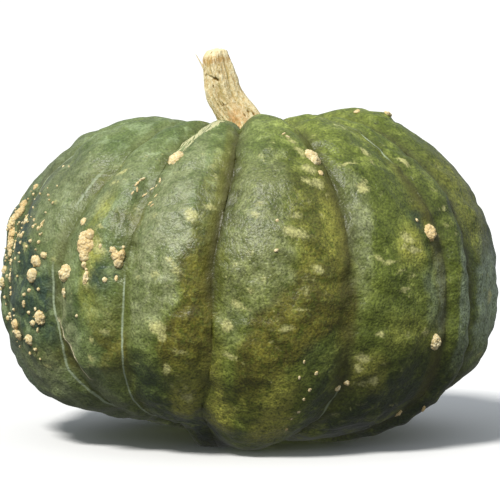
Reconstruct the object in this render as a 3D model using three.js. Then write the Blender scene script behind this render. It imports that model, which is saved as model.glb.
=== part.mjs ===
// A warty green pumpkin and its dry, corky stem, standing on its own underside.
//
// Units are millimetres, +Z is up and the front is toward -Y. The origin lies on the
// surface that the fruit stands on, under the middle of its outline seen from above.
//
// The fruit is one closed skin of fourteen ribs. A point of the skin is named by its
// latitude (0 at the stem, PI at the blossom end), by its rib, and by how far across
// that rib it lies (0 at the groove before it, 1 at the groove after it).

import * as THREE from "three";

const { clamp, degToRad, lerp, smoothstep } = THREE.MathUtils;

// ---- Fruit: the plain body, before ribs ---------------------------------------------

const HALF_WIDTH = 120; // middle to the crown of a side rib
const HALF_DEPTH = 114; // middle to the crown of the front rib
const WAIST_HEIGHT = 75.2; // the widest ring, above the ground
const SHOULDER_RISE = 90; // waist to the top, before the stem end sinks in
const BELLY_DROP = 78; // waist to the bottom, before the blossom end sinks in
const SHOULDER_FULLNESS = 2.1; // superellipse exponents: 2 is an ellipse, more is boxier
const BELLY_FULLNESS = 2.65;

const STEM_HOLLOW = { depth: 24, radius: 36 };
const BLOSSOM_HOLLOW = { depth: 9, radius: 30 };

// The two ends are a little off the middle, so the grooves bend toward them.
const STEM_END = { x: -2.5, y: 0 };
const BLOSSOM_END = { x: -6, y: -6 };

// The blossom scar is a blunt knob under the front, left of the middle.
const KNOB = { x: -20, y: -43, height: 8, radius: 9 };

// The stem grows from a flat round scar.
const SCAR_RADIUS = 15.5;
const SCAR_HEIGHT = 145;
const GROOVE_RUNOUT = 40; // ribs and grooves reach full size this far out from the scar

// ---- Fruit: ribs --------------------------------------------------------------------

// One row a rib, anticlockwise seen from above, from the far left of the front.
// bearing: the groove before the rib, at the waist, in degrees from the front toward +X
// leanTop, leanBelow: how many degrees that groove has turned at the stem and blossom end
// depth: of that groove, in mm
// top, waist: how far the rib swells (+) or sinks (-) there, in mm
// hang: how much further down its underside reaches (+) or stops short (-), in mm
// corner: how far the rib swells (+) low down, where its side turns under, in mm
const RIB_COLUMNS = ["bearing", "leanTop", "leanBelow", "depth", "top", "waist", "hang", "corner"];
const RIBS = [
  [-76.5, -1, -2, 4.5, -0.5, 1.5, -11, 5.5],
  [-49.5, 8.5, 4, 5.5, -1.5, 0.5, -9.5, 0],
  [-29.5, 4.5, -4.5, 5, -1.5, 0, -9, 0],
  [-8.8, 6, -4.8, 7.5, 2.5, 0.5, 1.5, 0],
  [23.5, 0, 0, 6, 1.5, -2, -2, 0],
  [50, -2, 5, 3, 0, 1, 1, 0],
  [61, 1, 3, 5, 3.5, -1, -8, 0],
  [97, 0, 0, 5, 1, 0, -2, 0],
  [124, -2, 3, 5.5, -2, 0, 2, 0],
  [150, 0, 0, 4.5, -4, 0, 2, 0],
  [175, 3, -2, 6, -7, 0, 2, 0],
  [202, 0, 0, 5, -5, 0, 1, 0],
  [229, -3, 2, 5.5, -3, 0, -4, 0],
  [256, 0, 0, 5, -0.5, 0, -8, 4],
].map((row) => Object.fromEntries(RIB_COLUMNS.map((column, i) => [column, row[i]])));

const LOW_CORNER = { latitude: 2.29, width: 0.28 }; // in radians

const RIB_ROUNDNESS = 2.4; // 2 is a round rib, more is flatter on top with a sharper groove

// ---- Fruit: mesh --------------------------------------------------------------------

const STRIPS_PER_RIB = 8;
const BODY_RINGS = 26; // from the scar to where the underside begins
const UNDERSIDE_RINGS = 11; // closer together, for the knob and the resting patches
const UNDERSIDE_BEGINS = Math.PI - 0.55;
const LAST_RING = Math.PI - 0.06;

// ---- Stem ---------------------------------------------------------------------------

const SCAR_GAP = 0.3; // the stem is its own solid, so it stops just short of the scar
const STEM_SIDES = 20;
const STEM_ANGLES = 5; // blunt ridges round the stem
const RIDGE_SHARE = { foot: 0.1, cut: 0.04 }; // ridge height as a share of the radius

// One row a ring: height of its middle above the scar, its middle's x, radius, tilt in degrees.
const STEM_RINGS = [
  [SCAR_GAP, -1.8, 12.8, 0],
  [3, -3, 10.8, 9],
  [6.5, -4.7, 9.5, 20],
  [10.5, -7.2, 9, 28],
  [15.5, -10.7, 8.5, 28],
  [20.5, -13.2, 8.4, 20],
  [26, -14.5, 8, 15],
  [32, -15.6, 7, 14],
  [37.8, -16.7, 6.1, 8],
  [40.4, -16.3, 4.8, 3],
];

// ---- Shape of the fruit -------------------------------------------------------------

// The plain body's outline at a latitude: its reach as a share of the half width, and its
// rise above the waist.
function bodyOutline(latitude) {
  const isUpper = latitude < Math.PI / 2;
  const power = 2 / (isUpper ? SHOULDER_FULLNESS : BELLY_FULLNESS);
  const reach = Math.sin(latitude) ** power;
  const level = Math.abs(Math.cos(latitude)) ** power;
  const hollow = isUpper ? STEM_HOLLOW : BLOSSOM_HOLLOW;
  const sunk = hollow.depth * Math.exp(-((reach * HALF_WIDTH / hollow.radius) ** 2));
  const rise = isUpper ? SHOULDER_RISE * level - sunk : sunk - BELLY_DROP * level;
  return { reach, rise };
}

// The direction that the plain body's outline faces at a latitude.
function bodyFacing(latitude) {
  const step = 1e-3;
  const before = bodyOutline(latitude - step);
  const after = bodyOutline(latitude + step);
  const along = (after.reach - before.reach) * HALF_WIDTH;
  const down = before.rise - after.rise;
  const length = Math.hypot(along, down);
  return { outward: down / length, upward: along / length };
}

// How much a latitude belongs to the top and to the underside, the rest being the waist,
// and how much to the low corner.
function zones(latitude) {
  const level = Math.cos(latitude);
  return {
    top: smoothstep(level, 0.1, 0.95),
    below: smoothstep(-level, 0.1, 0.95),
    corner: Math.exp(-(((latitude - LOW_CORNER.latitude) / LOW_CORNER.width) ** 2)),
  };
}

function ribAt(index) {
  return RIBS[(index + RIBS.length) % RIBS.length];
}

function grooveBearing(index, zone) {
  const { bearing, leanTop, leanBelow } = ribAt(index);
  const turns = Math.floor(index / RIBS.length);
  return degToRad(bearing + 360 * turns + leanTop * zone.top + leanBelow * zone.below);
}

// A rib's own value in its middle, evened out with its neighbour's toward the groove.
function blendRibs(rib, fromMiddle, valueOf) {
  const own = valueOf(ribAt(rib));
  const neighbour = valueOf(ribAt(fromMiddle < 0 ? rib - 1 : rib + 1));
  return own + (neighbour - own) * 0.5 * fromMiddle ** 2;
}

// How far the skin stands off the plain body: the swelling of the rib, less the groove.
function skinOffset(zone, rib, across) {
  const fromMiddle = 2 * across - 1;
  const atWaist = 1 - zone.top - zone.below;
  const swell = blendRibs(
    rib,
    fromMiddle,
    ({ top, waist, corner }) => top * zone.top + waist * atWaist + corner * zone.corner,
  );
  const depth = lerp(ribAt(rib).depth, ribAt(rib + 1).depth, across);
  return swell - depth * Math.abs(fromMiddle) ** RIB_ROUNDNESS;
}

// How much further down the underside reaches than the plain body.
function skinHang(zone, rib, across) {
  return blendRibs(rib, 2 * across - 1, ({ hang }) => hang * zone.below);
}

function knobDrop(x, y) {
  const distance = Math.hypot(x - KNOB.x, y - KNOB.y) / KNOB.radius;
  return KNOB.height * Math.exp(-(distance ** 3));
}

function skinPoint(latitude, rib, across) {
  const zone = zones(latitude);
  const { reach, rise } = bodyOutline(latitude);
  const { outward, upward } = bodyFacing(latitude);
  const runout = clamp((reach * HALF_WIDTH - SCAR_RADIUS) / GROOVE_RUNOUT, 0, 1) ** 0.7;
  const offset = skinOffset(zone, rib, across) * runout;
  const hang = skinHang(zone, rib, across) * runout;
  const bearing = lerp(grooveBearing(rib, zone), grooveBearing(rib + 1, zone), across);

  const level = Math.cos(latitude);
  const toStemEnd = smoothstep(level, 0.3, 1);
  const toBlossomEnd = smoothstep(-level, 0.45, 1);
  const middleX = STEM_END.x * toStemEnd + BLOSSOM_END.x * toBlossomEnd;
  const middleY = STEM_END.y * toStemEnd + BLOSSOM_END.y * toBlossomEnd;

  const x = middleX + (HALF_WIDTH * reach + outward * offset) * Math.sin(bearing);
  const y = middleY - (HALF_DEPTH * reach + outward * offset) * Math.cos(bearing);
  const knob = level < 0 ? knobDrop(x, y) : 0;
  const z = WAIST_HEIGHT + rise + upward * offset - hang - knob;
  return new THREE.Vector3(x, y, Math.max(z, 0)); // its own weight flattens what touches down
}

// The latitude of the first ring, where the plain body is as wide as the scar.
function scarLatitude() {
  return Math.asin((SCAR_RADIUS / HALF_WIDTH) ** (SHOULDER_FULLNESS / 2));
}

function ringLatitudes() {
  const body = Array.from({ length: BODY_RINGS }, (_, i) =>
    lerp(scarLatitude(), UNDERSIDE_BEGINS, i / BODY_RINGS),
  );
  const underside = Array.from({ length: UNDERSIDE_RINGS }, (_, i) =>
    lerp(UNDERSIDE_BEGINS, LAST_RING, i / (UNDERSIDE_RINGS - 1)),
  );
  return [...body, ...underside];
}

function fruitRings() {
  const columns = RIBS.length * STRIPS_PER_RIB;
  const rings = ringLatitudes().map((latitude) =>
    Array.from({ length: columns }, (_, column) => {
      const rib = Math.floor(column / STRIPS_PER_RIB);
      return skinPoint(latitude, rib, (column % STRIPS_PER_RIB) / STRIPS_PER_RIB);
    }),
  );
  rings[0].forEach((point) => (point.z = SCAR_HEIGHT));
  return rings;
}

// ---- Shape of the stem --------------------------------------------------------------

function stemRing([height, middleX, radius, tiltDegrees], share) {
  const tilt = degToRad(tiltDegrees);
  const ridge = lerp(RIDGE_SHARE.foot, RIDGE_SHARE.cut, share);
  return Array.from({ length: STEM_SIDES }, (_, side) => {
    const bearing = (2 * Math.PI * side) / STEM_SIDES;
    const spread = radius * (1 + ridge * Math.cos(STEM_ANGLES * bearing));
    const toSide = spread * Math.sin(bearing);
    return new THREE.Vector3(
      middleX + toSide * Math.cos(tilt),
      -spread * Math.cos(bearing),
      SCAR_HEIGHT + height + toSide * Math.sin(tilt),
    );
  });
}

function stemRings() {
  return STEM_RINGS.map((row, i) => stemRing(row, i / (STEM_RINGS.length - 1))).reverse();
}

// ---- Meshes -------------------------------------------------------------------------

function middleOf(ring) {
  return ring
    .reduce((sum, point) => sum.add(point), new THREE.Vector3())
    .divideScalar(ring.length);
}

// A closed skin over rings of points, given from the top down, each anticlockwise seen
// from above. A fan closes each end.
function closedSkin(rings) {
  const sides = rings[0].length;
  const points = [...rings.flat(), middleOf(rings[0]), middleOf(rings.at(-1))];
  const topPole = points.length - 2;
  const bottomPole = points.length - 1;
  const faces = [];
  for (let side = 0; side < sides; side++) {
    const next = (side + 1) % sides;
    faces.push(topPole, side, next);
    for (let ring = 1; ring < rings.length; ring++) {
      const above = (ring - 1) * sides;
      const here = ring * sides;
      faces.push(above + side, here + side, above + next);
      faces.push(above + next, here + side, here + next);
    }
    const last = (rings.length - 1) * sides;
    faces.push(bottomPole, last + next, last + side);
  }
  const geometry = new THREE.BufferGeometry().setFromPoints(points);
  geometry.setIndex(faces);
  geometry.computeVertexNormals();
  return geometry;
}

function makeFruit() {
  const skin = new THREE.MeshStandardMaterial({ color: 0x4f6337, roughness: 0.5, metalness: 0 });
  const fruit = new THREE.Mesh(closedSkin(fruitRings()), skin);
  fruit.name = "fruit";
  return fruit;
}

function makeStem() {
  const cork = new THREE.MeshStandardMaterial({ color: 0xd2b482, roughness: 0.9, metalness: 0 });
  const stem = new THREE.Mesh(closedSkin(stemRings()), cork);
  stem.name = "stem";
  return stem;
}

const pumpkin = new THREE.Group();
pumpkin.add(makeFruit(), makeStem());

const middle = new THREE.Box3().setFromObject(pumpkin).getCenter(new THREE.Vector3());
pumpkin.position.set(-middle.x, -middle.y, 0);

export default pumpkin;
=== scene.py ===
# %% [markdown]
# # A warty green pumpkin
#
# We build one ribbed, warty pumpkin and its dry, corky stem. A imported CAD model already
# fixes the size and place of both pieces, so each piece made here fills the space that
# its solid holds, and adds what a solid can't show: lumps, warts, cracks and colour.
# The order is camera, floor and light, then the skin of the fruit, its marks and its
# finish, and last the stem.

import math
import random

import bmesh
import bpy
import numpy as np
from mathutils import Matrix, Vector, noise


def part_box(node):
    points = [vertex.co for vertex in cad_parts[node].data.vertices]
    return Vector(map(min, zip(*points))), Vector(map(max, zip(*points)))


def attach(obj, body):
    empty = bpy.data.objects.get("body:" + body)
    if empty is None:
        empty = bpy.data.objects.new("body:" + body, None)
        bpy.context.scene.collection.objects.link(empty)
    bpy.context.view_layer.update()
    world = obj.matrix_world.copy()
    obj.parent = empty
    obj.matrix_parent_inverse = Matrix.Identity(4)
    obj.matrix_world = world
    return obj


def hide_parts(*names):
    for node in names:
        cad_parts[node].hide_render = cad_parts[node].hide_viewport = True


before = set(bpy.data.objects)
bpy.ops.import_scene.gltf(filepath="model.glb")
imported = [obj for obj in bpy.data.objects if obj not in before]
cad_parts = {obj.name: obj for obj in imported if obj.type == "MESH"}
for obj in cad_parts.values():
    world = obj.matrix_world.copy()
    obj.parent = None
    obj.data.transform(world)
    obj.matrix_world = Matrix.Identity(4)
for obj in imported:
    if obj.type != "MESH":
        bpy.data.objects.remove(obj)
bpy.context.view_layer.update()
fruit_low, fruit_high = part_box("fruit")
stem_low, stem_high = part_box("stem")
MM = 0.001  # shapes below are worked out in millimetres, and Blender takes metres


def size_in_mm(low, high):
    return [round((b - a) / MM, 1) for a, b in zip(low, high)]


print("fruit in mm:", size_in_mm(fruit_low, fruit_high))
print("stem in mm:", size_in_mm(stem_low, stem_high))

# %% [markdown]
# ## Camera
#
# The fruit is seen from the front and only five degrees from above, and it fills the
# frame from side to side. A long lens from 1.6 m away keeps its sides from bulging.

# %% Camera
VIEW_DISTANCE = 1.6
VIEW_HEIGHT = math.radians(5)
LENS, SENSOR_WIDTH = 238.5, 36  # mm
LAST_SEEN = 400  # metres, past the far edge of the floor


def into_scene(name, data):
    """A new object that shows this camera, light or mesh in the scene."""
    made = bpy.data.objects.new(name, data)
    bpy.context.scene.collection.objects.link(made)
    return made


waist = Vector((0.0005, 0.0004, 0.0755))
looked_at = waist + Vector((0, 0, 0.0138))
back = Vector((0, -math.cos(VIEW_HEIGHT), math.sin(VIEW_HEIGHT)))

lens = bpy.data.cameras.new("camera")
lens.sensor_width, lens.lens, lens.clip_end = SENSOR_WIDTH, LENS, LAST_SEEN
camera = into_scene("camera", lens)
camera.location = waist + back * VIEW_DISTANCE
camera.rotation_euler = (camera.location - looked_at).to_track_quat("Z", "Y").to_euler()
bpy.context.scene.camera = camera
print("camera at", [round(x, 3) for x in camera.location])

# %% [markdown]
# ## Mixing a finish
#
# Every finish is a small network of shader nodes, and so is the sky. The two helpers below
# add one node at a time and hand back its result. Results can be added and multiplied like
# plain numbers, so that a recipe reads from top to bottom like a list of coats of paint.


# %% Results of nodes
class Result:
    """What one node of a finish gives. A sum with it adds one more node."""

    def __init__(self, finish, socket):
        self.finish, self.socket = finish, socket

    def sum(self, operation, other=0.0):
        inputs = {0: self, 1: other}
        return self.finish.add("ShaderNodeMath", inputs, "Value", operation=operation)

    def __mul__(self, other):
        return self.sum("MULTIPLY", other)

    def __add__(self, other):
        return self.sum("ADD", other)

    def __sub__(self, number):
        return self + -number

    def grade(self, low, high):
        """0 where the result is at low, 1 where it is at high, with an easy slope."""
        inputs = {"Value": self, "From Min": min(low, high), "From Max": max(low, high)}
        inputs |= {"To Min": float(low > high), "To Max": float(low < high)}
        return self.finish.add("ShaderNodeMapRange", inputs, "Result", interpolation_type="SMOOTHSTEP")

    def line(self, half_width, soft):
        """1 on a line, where the result is a signed distance in mm, fading over soft mm."""
        return self.sum("ABSOLUTE").grade(half_width + soft, half_width)


# %% Finish helper
def paint(code):
    """A colour such as "4f6337", turned into the linear values that shaders take."""
    parts = [int(code[i : i + 2], 16) / 255 for i in (0, 2, 4)]
    linear = [p / 12.92 if p <= 0.04045 else ((p + 0.055) / 1.055) ** 2.4 for p in parts]
    return (*linear, 1)


METRE = 1000  # mm, for the scale of a texture


class Finish:
    """A material or a sky in the making."""

    def __init__(self, made, shader="Principled BSDF"):
        made.use_nodes = True
        self.made, self.tree = made, made.node_tree
        self.shader = self.tree.nodes[shader]

    def fill(self, node, inputs):
        """Gives each input of a node its fixed value, or links it to a result."""
        for name, value in inputs.items():
            if isinstance(value, Result):
                self.tree.links.new(value.socket, node.inputs[name])
            else:
                node.inputs[name].default_value = value

    def add(self, kind, inputs, output, **settings):
        """Adds a node and returns one of its outputs."""
        node = self.tree.nodes.new(kind)
        for name, value in settings.items():
            setattr(node, name, value)
        self.fill(node, inputs)
        return Result(self, node.outputs[output])

    def mark(self, name):
        return self.add("ShaderNodeAttribute", {}, "Fac", attribute_name=name)

    def shifted(self, shift, stretch=(1, 1, 1), place=None):
        """The place on the piece, or another place given, shifted and stretched."""
        place = place or self.add("ShaderNodeTexCoord", {}, "Object")
        inputs = {"Vector": place, "Location": shift, "Scale": stretch}
        return self.add("ShaderNodeMapping", inputs, "Vector")

    def noise(self, size, detail, roughness, warp, seed=0, stretch=(1, 1, 1), place=None):
        """Noise from 0 to 1 with features of that size in mm."""
        place = self.shifted((seed, seed * 0.7, seed * 1.3), stretch, place)
        inputs = {"Vector": place, "Scale": METRE / size, "Detail": detail}
        inputs |= {"Roughness": roughness, "Distortion": warp}
        return self.add("ShaderNodeTexNoise", inputs, "Fac")

    def dots(self, apart, radius, seed):
        """1 inside small round dots that many mm apart, 0 outside; radius is a share of that."""
        inputs = {"Vector": self.shifted((seed, seed, seed)), "Scale": METRE / apart}
        away = self.add("ShaderNodeTexVoronoi", inputs, "Distance")
        return away.grade(radius, radius * 0.5)

    def mix(self, share, under, over, blend_type="MIX"):
        """One colour over another; share says how much of it covers."""
        inputs = {0: share, 6: under, 7: over}
        return self.add("ShaderNodeMix", inputs, 2, data_type="RGBA", blend_type=blend_type)

    def coat(self, over, share, blend_type="MIX"):
        """One more coat on the colour so far."""
        self.colour = self.mix(share, self.colour, over, blend_type)

    def settle(self, roughness, specular, bumps, strength, depth):
        """Links the colour to the shader, its gloss, and bumps that deep in metres."""
        inputs = {"Height": bumps, "Strength": strength, "Distance": depth}
        normal = self.add("ShaderNodeBump", inputs, "Normal")
        inputs = {"Base Color": self.colour, "Roughness": roughness, "Normal": normal}
        self.fill(self.shader, {**inputs, "Specular IOR Level": specular})


# %% [markdown]
# ## Floor and light
#
# The fruit stands on a plain white floor that runs past the horizon. One broad soft sun
# shines from the front, half way up the sky and a little to the left, so the shoulders
# are bright and the belly fades to dark. A sun lights the far floor as evenly as the near
# floor, which a lamp close by can't do. A white floor would throw light back up and
# flatten the belly, so the floor is left out of the light that bounces.

# %% Floor
FLOOR_HALF = 90  # metres

corners = [(-1, -1), (1, -1), (1, 1), (-1, 1)]
floor_mesh = bpy.data.meshes.new("floor")
floor_mesh.from_pydata([(x * FLOOR_HALF, y * FLOOR_HALF, 0) for x, y in corners], [], [(0, 1, 2, 3)])
floor = into_scene("floor", floor_mesh)
floor.visible_diffuse = floor.visible_glossy = False

white = {"Base Color": (0.9, 0.9, 0.9, 1), "Roughness": 0.9, "Specular IOR Level": 0}
floor_paint = Finish(bpy.data.materials.new("floor_paint"))
floor_paint.fill(floor_paint.shader, white)
floor_mesh.materials.append(floor_paint.made)

# %% Sun
SUN_BEARING, SUN_HEIGHT = math.radians(-30), math.radians(50)  # from the front toward +X

sun = bpy.data.lights.new("key", "SUN")
sun.angle, sun.energy, sun.color = math.radians(14), 3.4, (1, 0.98, 0.94)
across, down = math.sin(SUN_BEARING), -math.cos(SUN_BEARING)
level = math.cos(SUN_HEIGHT)
source = Vector((across * level, down * level, math.sin(SUN_HEIGHT)))
into_scene("key", sun).rotation_euler = source.to_track_quat("Z", "Y").to_euler()
print("sun shines from", [round(x, 2) for x in source])


# %% Sky
LOW_SKY = (0.46, (0.19, 0.192, 0.195, 1))  # 0.5 is the horizon, and 1 is straight up
HIGH_SKY = (0.56, (0.44, 0.47, 0.5, 1))

sky = Finish(bpy.data.worlds.new("sky"), "Background")
direction = sky.add("ShaderNodeTexCoord", {}, "Generated")
upward = sky.add("ShaderNodeSeparateXYZ", {0: direction}, "Z")
half_up = sky.add("ShaderNodeMath", {0: upward, 1: 0.5, 2: 0.5}, 0, operation="MULTIPLY_ADD")
sky_colour = sky.add("ShaderNodeValToRGB", {"Fac": half_up}, "Color")
for stop, (position, colour) in enumerate((LOW_SKY, HIGH_SKY)):
    element = sky_colour.socket.node.color_ramp.elements[stop]
    element.position, element.color = position, colour
sky.fill(sky.shader, {"Color": sky_colour})
bpy.context.scene.world = sky.made
bpy.context.scene.view_settings.view_transform = "Standard"

# %% [markdown]
# ## The plain body
#
# Leave the ribs aside for a moment. The body is a flattened ball, a little boxier below
# than above, dented where the stem sits and again underneath. We name a place on it by
# its latitude, which runs from 0 at the stem to pi at the blossom end. A sphere could be
# scaled and dented by hand, but a formula gives the same shape at any fineness, and it
# can match the CAD solid exactly.

# %% Plain body
HALF_WIDTH = 120
HALF_DEPTH = 114
WAIST_HEIGHT = 75.2
SHOULDER_RISE = 90
BELLY_DROP = 78
SHOULDER_FULLNESS = 2.1
BELLY_FULLNESS = 2.65
STEM_HOLLOW = (24, 36)  # depth, radius
BLOSSOM_HOLLOW = (9, 30)
SCAR_RADIUS = 15.5
SCAR_HEIGHT = 145


def smooth(value, low, high):
    """0 below low, 1 above high, and an easy slope between them."""
    share = np.clip((value - low) / (high - low), 0, 1)
    return share * share * (3 - 2 * share)


def plain_body(latitude):
    """How far out the plain body reaches, as a share of its half width, and its rise."""
    upper = latitude < math.pi / 2
    power = np.where(upper, 2 / SHOULDER_FULLNESS, 2 / BELLY_FULLNESS)
    reach = np.abs(np.sin(latitude)) ** power
    level = np.abs(np.cos(latitude)) ** power
    out = reach * HALF_WIDTH
    top_dent = STEM_HOLLOW[0] * np.exp(-((out / STEM_HOLLOW[1]) ** 2))
    low_dent = BLOSSOM_HOLLOW[0] * np.exp(-((out / BLOSSOM_HOLLOW[1]) ** 2))
    rise = np.where(upper, SHOULDER_RISE * level - top_dent, low_dent - BELLY_DROP * level)
    return reach, rise


def facing(latitude):
    """The direction the plain body faces there: its outward and upward share."""
    reach_before, rise_before = plain_body(latitude - 1e-3)
    reach_after, rise_after = plain_body(latitude + 1e-3)
    along = (reach_after - reach_before) * HALF_WIDTH
    down = rise_before - rise_after
    length = np.hypot(along, down)
    return down / length, along / length


# %% [markdown]
# ## The ribs
#
# Fourteen ribs run from the stem to the blossom end. No two are alike: each has its own
# width, leans its own way at the top and below, and swells or sinks. A table with one row
# for each rib keeps those facts together, counted from the far left of the front. A place
# across the ribs is one number called turn: 3.0 is the groove before rib 3, and 3.5 is
# the middle of that rib. The numbers of the body and of the ribs were found by a search
# program that compared outlines and grooves, and some were then changed.

# %% Ribs
# Bearing of the groove before the rib, its lean at the top and below (degrees), the depth
# of that groove, the swell at the top and at the waist, the hang underneath and the
# swell at the low corner, where the side turns under (mm).
RIBS = np.array(
    [
        [-76.5, -1, -2, 4.5, -0.5, 1.5, -11, 5.5],
        [-49.5, 8.5, 4, 5.5, -1.5, 0.5, -9.5, 0],
        [-29.5, 4.5, -4.5, 5, -1.5, 0, -9, 0],
        [-8.8, 6, -4.8, 7.5, 2.5, 0.5, 1.5, 0],
        [23.5, 0, 0, 6, 1.5, -2, -2, 0],
        [50, -2, 5, 3, 0, 1, 1, 0],
        [61, 1, 3, 5, 3.5, -1, -8, 0],
        [97, 0, 0, 5, 1, 0, -2, 0],
        [124, -2, 3, 5.5, -2, 0, 2, 0],
        [150, 0, 0, 4.5, -4, 0, 2, 0],
        [175, 3, -2, 6, -7, 0, 2, 0],
        [202, 0, 0, 5, -5, 0, 1, 0],
        [229, -3, 2, 5.5, -3, 0, -4, 0],
        [256, 0, 0, 5, -0.5, 0, -8, 4],
    ]
)
BEARING, LEAN_TOP, LEAN_BELOW, DEPTH, SWELL_TOP, SWELL_WAIST, HANG, SWELL_LOW = RIBS.T
LOW_CORNER = (2.29, 0.28)  # latitude and width, in radians
RIB_COUNT = len(RIBS)
RIB_ROUNDNESS = 2.4
GROOVE_RUNOUT = 40


def groove_bearing(rib, top, below):
    """The bearing of the groove before a rib, in radians from the front toward +X."""
    lap, rib = np.divmod(rib, RIB_COUNT)
    return np.radians(BEARING[rib] + 360 * lap + LEAN_TOP[rib] * top + LEAN_BELOW[rib] * below)


def blend_ribs(values, rib, from_middle):
    """A rib's own value in its middle, evened out with its neighbour's at the groove."""
    own = values[rib % RIB_COUNT]
    neighbour = values[np.where(from_middle < 0, rib - 1, rib + 1) % RIB_COUNT]
    return own + (neighbour - own) * 0.5 * from_middle**2


# %% [markdown]
# The skin of the fruit is the plain body pushed out where a rib swells and in where a
# groove runs. Both ends of the fruit lie a little off its middle, which bends the
# grooves, and a blunt knob hangs under the front. Nothing goes below the floor: there its
# own weight has pressed the fruit flat.

# %% Skin
STEM_END_X = -2.5
BLOSSOM_END = (-6, -6)
KNOB = {"x": -20, "y": -43, "height": 8, "radius": 9}


def skin_point(turn, latitude):
    """The place of the skin in mm, one row for each turn and latitude given."""
    rib = np.floor(turn).astype(int)
    across = turn - rib
    from_middle = 2 * across - 1
    level = np.cos(latitude)
    top, below = smooth(level, 0.1, 0.95), smooth(-level, 0.1, 0.95)
    reach, rise = plain_body(latitude)
    outward, upward = facing(latitude)
    runout = np.clip((reach * HALF_WIDTH - SCAR_RADIUS) / GROOVE_RUNOUT, 0, 1) ** 0.7

    swell = blend_ribs(SWELL_TOP, rib, from_middle) * top
    swell = swell + blend_ribs(SWELL_WAIST, rib, from_middle) * (1 - top - below)
    corner = np.exp(-(((latitude - LOW_CORNER[0]) / LOW_CORNER[1]) ** 2))
    swell = swell + blend_ribs(SWELL_LOW, rib, from_middle) * corner
    depth = DEPTH[rib % RIB_COUNT] * (1 - across) + DEPTH[(rib + 1) % RIB_COUNT] * across
    offset = (swell - depth * np.abs(from_middle) ** RIB_ROUNDNESS) * runout
    hang = blend_ribs(HANG, rib, from_middle) * below * runout

    before, after = groove_bearing(rib, top, below), groove_bearing(rib + 1, top, below)
    bearing = before + (after - before) * across
    to_stem, to_blossom = smooth(level, 0.3, 1), smooth(-level, 0.45, 1)
    middle_x = STEM_END_X * to_stem + BLOSSOM_END[0] * to_blossom
    middle_y = BLOSSOM_END[1] * to_blossom
    x = middle_x + (HALF_WIDTH * reach + outward * offset) * np.sin(bearing)
    y = middle_y - (HALF_DEPTH * reach + outward * offset) * np.cos(bearing)
    off_knob = np.hypot(x - KNOB["x"], y - KNOB["y"]) / KNOB["radius"]
    knob = np.where(level < 0, KNOB["height"] * np.exp(-(off_knob**3)), 0)
    z = WAIST_HEIGHT + rise + upward * offset - hang - knob
    in_scar = (level > 0) & (reach * HALF_WIDTH <= SCAR_RADIUS + 0.01)
    z = np.where(in_scar, SCAR_HEIGHT, z)
    return np.stack([x, y, np.maximum(z, 0)], axis=-1)


turns, latitudes = np.meshgrid(np.arange(0, RIB_COUNT, 0.02), np.linspace(0.1, 3.1, 300))
trial = skin_point(turns.ravel(), latitudes.ravel())
solid_middle = (np.array(fruit_low) + np.array(fruit_high)) / 2 / MM
TO_FRAME = solid_middle - (trial.min(0) + trial.max(0)) / 2
TO_FRAME[2] = 0
print("skin in mm:", np.round(np.ptp(trial, axis=0), 1), "moved by", np.round(TO_FRAME, 2))

# %% [markdown]
# ## Warts
#
# The tan warts are dry cork that pushed through the skin. They cluster on the ribs at
# the left and are rare on the others. Each row below places one: its turn and latitude,
# its length down the rib, its width and height, and how far it leans from straight down.
# A row with a height under half a millimetre is a flat scab, and the smallest are seeds
# and crumbs. When the ribs were moved, a program wrote new turns here and in the tables
# of zones and flecks, so that each mark stayed in its place.

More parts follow.
